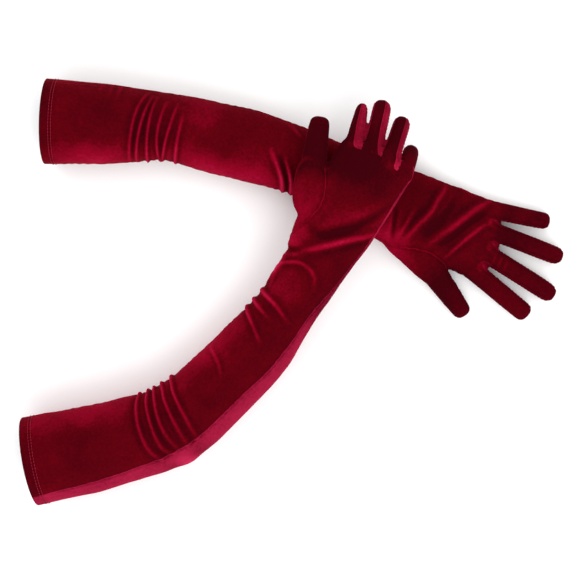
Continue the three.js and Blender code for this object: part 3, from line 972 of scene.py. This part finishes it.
def knit_backing(name):
    """The matt side of the cloth, seen inside the arm openings: fine ribs of knitting."""
    material, nodes, links, shader = new_material(name)
    place = nodes.new("ShaderNodeTexCoord")
    uneven = noise_node(nodes, links, place, 60.0, 3.0)
    tone = ramp_node(nodes, links, uneven.outputs["Fac"],
                     [(0.35, (0.075, 0.003, 0.014)), (0.7, (0.12, 0.006, 0.026))])
    links.new(tone.outputs["Color"], shader.inputs["Base Color"])
    ribs = nodes.new("ShaderNodeTexWave")
    ribs.inputs["Scale"].default_value = 420.0
    ribs.inputs["Distortion"].default_value = 1.2
    links.new(place.outputs["Object"], ribs.inputs["Vector"])
    bump = bump_node(nodes, links, ribs, 0.4, 0.0003)
    links.new(bump.outputs["Normal"], shader.inputs["Normal"])
    matt(shader, 0.95, 0.1)
    return material


def thread_material(name):
    material, nodes, links, shader = new_material(name)
    place = nodes.new("ShaderNodeTexCoord")
    twist = noise_node(nodes, links, place, 900.0, 1.0)
    tone = ramp_node(nodes, links, twist.outputs["Fac"],
                     [(0.4, (0.24, 0.006, 0.022)), (0.6, (0.34, 0.012, 0.036))])
    links.new(tone.outputs["Color"], shader.inputs["Base Color"])
    matt(shader, 0.8, 0.1)
    return material


# Tones of each velvet, from painted shade to painted highlight. The lower glove's palm and strips are
# darker because its pile lies the other way to the light: the upper glove's are a lit copy and the lower
# glove's a shaded copy of one velvet, painted light and shade.
DARK_TONES = ((0.034, 0.0, 0.0020), (0.085, 0.0, 0.003), (0.215, 0.0006, 0.013), (0.365, 0.006, 0.040))
LIT_PALM_TONES = ((0.08, 0.0, 0.006), (0.245, 0.006, 0.030), (0.345, 0.012, 0.050), (0.46, 0.022, 0.08))
SHADED_PALM_TONES = ((0.04, 0.0, 0.0015), (0.11, 0.0003, 0.005), (0.22, 0.001, 0.014), (0.36, 0.008, 0.045))
LIT_STRIP_TONES = ((0.15, 0.002, 0.012), (0.35, 0.007, 0.038), (0.46, 0.015, 0.062), (0.55, 0.032, 0.090))
SHADED_STRIP_TONES = ((0.042, 0.0, 0.002), (0.13, 0.0004, 0.008), (0.235, 0.0025, 0.022), (0.37, 0.010, 0.048))
BACK_VELVET = velvet("velvet", DARK_TONES, (0.55, 0.003, 0.04))
LIT_PALM_VELVET = velvet("palm_velvet", LIT_PALM_TONES, (0.6, 0.005, 0.055))
SHADED_PALM_VELVET = velvet("palm_velvet_shaded", SHADED_PALM_TONES, (0.55, 0.003, 0.04))
LIT_STRIP_VELVET = velvet("fourchette_velvet", LIT_STRIP_TONES, (0.7, 0.02, 0.09))
SHADED_STRIP_VELVET = velvet("fourchette_velvet_low", SHADED_STRIP_TONES, (0.55, 0.004, 0.04))
BACKING = knit_backing("knit_backing")
THREAD = thread_material("thread")
# The upper glove takes the lit copies and the lower glove the shaded copies: painted light and shade.
UPPER_GLOVE_LIT_VELVETS = {"velvet": BACK_VELVET, "palm_velvet": LIT_PALM_VELVET, "fourchette_velvet": LIT_STRIP_VELVET}
LOWER_GLOVE_SHADED_VELVETS = {"velvet": BACK_VELVET, "palm_velvet": SHADED_PALM_VELVET, "fourchette_velvet": SHADED_STRIP_VELVET}


# ---- pieces ---------------------------------------------------------------------------------
def new_object(name, points, faces, materials):
    mesh = bpy.data.meshes.new(name)
    mesh.from_pydata((np.asarray(points) * MM).tolist(), [], [tuple(f) for f in faces])
    for material in materials:
        mesh.materials.append(material)
    piece = bpy.data.objects.new(name, mesh)
    bpy.context.collection.objects.link(piece)
    return piece


def shell(local, count):
    """Faces of a sheet with thickness: its outside, its inside and the walls along its rim."""
    directed = sides_of(local)
    forward = directed[:, 0] * count + directed[:, 1]
    reverse = directed[:, 1] * count + directed[:, 0]
    rim = directed[~np.isin(forward, reverse)]
    a, b = rim[:, 0], rim[:, 1]
    walls = [np.stack([b, a, a + count], axis=1), np.stack([b, a + count, b + count], axis=1)]
    return np.vstack([local, local[:, ::-1] + count, *walls])


def cloth_piece(name, skin, chosen, slot):
    """A sheet of cloth with its thickness, cut out of the glove's skin."""
    triangles = skin.triangles[chosen]
    used, local = np.unique(triangles, return_inverse=True)
    local = local.reshape(-1, 3)
    outer, normal = skin.points[used], skin.normals[used]
    inner = outer - normal * CLOTH
    inner[:, 2] = np.maximum(inner[:, 2], CLOTH)
    count = len(used)
    faces = shell(local, count)
    mesh = bpy.data.meshes.new(name)
    mesh.vertices.add(2 * count)
    mesh.vertices.foreach_set("co", (np.vstack([outer, inner]) * MM).ravel())
    mesh.loops.add(len(faces) * 3)
    mesh.loops.foreach_set("vertex_index", faces.ravel())
    mesh.polygons.add(len(faces))
    mesh.polygons.foreach_set("loop_start", np.arange(len(faces)) * 3)
    mesh.update(calc_edges=True)
    smooth = np.ones(len(faces), bool)
    smooth[2 * len(local):] = False
    mesh.polygons.foreach_set("use_smooth", smooth)
    slots = np.zeros(len(faces), np.int32)
    slots[len(local):2 * len(local)] = 1
    materials = LOWER_GLOVE_SHADED_VELVETS if skin.glove is LEFT else UPPER_GLOVE_LIT_VELVETS
    mesh.materials.append(materials[slot])
    mesh.materials.append(BACKING)
    mesh.polygons.foreach_set("material_index", slots)
    loops = np.zeros((len(faces), 3, 3))
    loops[:len(local)] = normal[local]
    loops[len(local):2 * len(local)] = -normal[local[:, ::-1]]
    mesh.normals_split_custom_set(loops.reshape(-1, 3).tolist())
    # Painted light and shade, with random tone, that sets the velvet's colour.
    nap = mesh.attributes.new("nap", "FLOAT", "POINT")
    nap.data.foreach_set("value", np.tile(skin.values["nap"][used], 2).astype(np.float32))
    piece = bpy.data.objects.new(name, mesh)
    bpy.context.collection.objects.link(piece)
    return piece


def bend(piece, skin, joint):
    """Bakes the piece's transform. The stretch across the joint that it crosses is worked out but not used.
    """
    side, arm = skin.glove["name"], skin.arm
    if joint in BEND_REACH:
        place, reach = joint_place(arm, skin.glove[joint]), BEND_REACH[joint]
        start, end = arm.middle(np.array([place - reach, place + reach]))
    else:
        form, cut = skin.digits[joint], skin.glove["digits"][joint]["cut"]
        clear = cut + (THUMB_CROTCH if joint == "thumb" else 0.0)
        start, end = form.middle(np.array([clear, clear + DIGIT_BEND]))
    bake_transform(piece)


def cad_nodes(side, label):
    """The CAD nodes that a piece of cloth stands for."""
    zone, which = label.split("_", 1)
    if zone == "sleeve":
        names = [f"upper_{which}_panel", f"forearm_{which}_panel"]
    elif zone == "hand":
        names = [f"hand_{which}_panel"]
    elif zone in ("gusset", "thumb"):
        names = [f"{zone}_{which}_half"]
    elif which.endswith("fourchette"):
        names = [label]
    else:
        names = [f"{zone}_{which}_strip"]
    return [f"{side}_{name}" for name in names]


def make_pieces(skin):
    side = skin.glove["name"]
    labels = label_faces(skin)
    for label in sorted(set(labels)):
        zone = label.split("_")[0]
        slot = "velvet" if label.endswith("back") else "palm_velvet"
        slot = "fourchette_velvet" if label.endswith("fourchette") else slot
        piece = cloth_piece(f"{side}_{label}_cloth", skin, labels == label, slot)
        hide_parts(*cad_nodes(side, label))
        bend(piece, skin, {"sleeve": "elbow", "hand": "wrist", "gusset": "wrist"}.get(zone, zone))


def hem_band(skin):
    """The cloth turned in at the arm opening, as one ring with a rounded fold."""
    side, arm = skin.glove["name"], skin.arm
    section = [(1.2, 0.95), (0.2, 0.15), (-0.5, 0.5), (-0.8, 1.5), (-0.4, 2.5), (0.6, 2.9),
               (HEM_WIDTH, 2.6), (HEM_WIDTH + 0.5, 2.0), (HEM_WIDTH, 1.3)]
    angle = np.radians(np.arange(0, 360, 3.0))
    rings = []
    for along, inset in section:
        ring = arm.point(np.full_like(angle, along), angle, np.full_like(angle, inset))
        ring[:, 2] = np.maximum(ring[:, 2], max(inset, 0.1))
        rings.append(ring)
    faces = []
    for a, b, c, d in ring_faces(len(rings), len(angle), joined=True):
        faces.append((a, d, c, b) if skin.glove["ulnar"] < 0 else (b, c, d, a))
    band = new_object(f"{side}_hem_fold", np.vstack(rings), faces, [BACK_VELVET])
    band.data.polygons.foreach_set("use_smooth", np.ones(len(faces), bool))
    band.data.update()
    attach(band, f"{side}_upper_sleeve")
    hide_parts(f"{side}_hem_band")


def topstitching(skin):
    """Two rows of short raised stitches round the arm opening, as one thread piece."""
    side, arm = skin.glove["name"], skin.arm
    points, faces = [], []
    for row in TOPSTITCH_ROWS:
        fine = np.radians(np.arange(0, 360, 0.5))
        loop = arm.point(np.full_like(fine, row), fine)
        loop[:, 2] = np.maximum(loop[:, 2], TABLE_GAP)
        steps = np.linalg.norm(np.diff(np.vstack([loop, loop[:1]]), axis=0), axis=1)
        run = np.concatenate([[0], np.cumsum(steps)])
        number = int(run[-1] / STITCH_PITCH)
        for i in range(number):
            angle = np.interp(i * run[-1] / number, run[:-1], fine)
            add_stitch(points, faces, arm, row, angle)
    stitches = new_object(f"{side}_hem_stitches", np.array(points), faces, [THREAD])
    stitches.data.polygons.foreach_set("use_smooth", np.ones(len(faces), bool))
    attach(stitches, f"{side}_upper_sleeve")


def add_stitch(points, faces, arm, row, angle):
    """One stitch: a slim capsule that lies along the row and sinks in at both ends."""
    here = arm.point(np.array([row]), np.array([angle]))[0]
    ahead = arm.point(np.array([row]), np.array([angle + 0.01]))[0]
    if here[2] < 0.4:
        return
    along = unit(ahead - here)
    side = arm.read(arm.tangent, np.array([row]))[0]
    outward = unit(np.cross(along, side)) * arm_sign(arm)
    base = len(points)
    around = 6
    for share, radius, lift in STITCH_PROFILE:
        for j in range(around):
            turn = 2 * math.pi * j / around
            rise = lift - 0.1 + radius * math.sin(turn)
            middle = here + along * share * STITCH_LENGTH + outward * rise
            points.append(middle + side * radius * math.cos(turn))
    rings = len(STITCH_PROFILE)
    for a, b, c, d in ring_faces(rings, around, base):
        faces.append((a, d, c, b))
    faces.append(tuple(base + j for j in range(around)))
    faces.append(tuple(base + (rings - 1) * around + j for j in reversed(range(around))))


def arm_sign(arm):
    """Whether angles round the section turn with or against the way the arm points."""
    return 1.0 if np.cross(arm.side[0], arm.up[0]) @ arm.tangent[0] < 0 else -1.0


def build_glove(glove):
    skin = Skin(glove)
    seam_lines(skin)
    skin.locate()
    skin.normals = vertex_normals(skin.points, skin.triangles)
    cut_skin(skin)
    inside = skin.at_faces("along") > 0
    skin.triangles = skin.triangles[inside]
    make_pieces(skin)
    hem_band(skin)
    topstitching(skin)


# ---- scene ----------------------------------------------------------------------------------
def add_floor():
    mesh = bpy.data.meshes.new("floor")
    reach = 6.0
    mesh.from_pydata([(-reach, -reach, 0), (reach, -reach, 0), (reach, reach, 0), (-reach, reach, 0)], [],
                     [(0, 1, 2, 3)])
    material, _, _, shader = new_material("floor")
    shader.inputs["Base Color"].default_value = (0.93, 0.93, 0.93, 1)
    matt(shader, 0.9, 0.1)
    mesh.materials.append(material)
    floor = bpy.data.objects.new("floor", mesh)
    bpy.context.collection.objects.link(floor)


def add_light(name, place, target, size, power):
    data = bpy.data.lights.new(name, "AREA")
    data.shape = "DISK"
    data.size = size
    data.energy = power
    light = bpy.data.objects.new(name, data)
    light.location = place
    aim = Vector(target) - Vector(place)
    light.rotation_euler = aim.to_track_quat("-Z", "Y").to_euler()
    bpy.context.collection.objects.link(light)


def add_camera():
    """Straight above the pair, as far off as makes the near sleeve look slightly larger."""
    data = bpy.data.cameras.new("camera")
    data.sensor_width = 36.0
    data.lens = 89.3
    camera = bpy.data.objects.new("camera", data)
    camera.location = (-0.0074, 0.004, 1.542)
    bpy.context.collection.objects.link(camera)
    bpy.context.scene.camera = camera


def add_lighting():
    scene = bpy.context.scene
    world = bpy.data.worlds.new("studio")
    world.use_nodes = True
    background = world.node_tree.nodes["Background"]
    background.inputs["Color"].default_value = (1.0, 1.0, 1.0, 1)
    background.inputs["Strength"].default_value = 1.2
    scene.world = world
    add_light("key", (0.5, -1.1, 1.3), (0, 0, 0), 1.4, 14.0)
    add_light("fill", (-0.8, 1.0, 1.4), (0, 0, 0), 1.4, 5.0)
    scene.view_settings.view_transform = "Standard"
    scene.view_settings.look = "None"


add_camera()
add_lighting()
add_floor()
build_glove(LEFT)
build_glove(RIGHT)
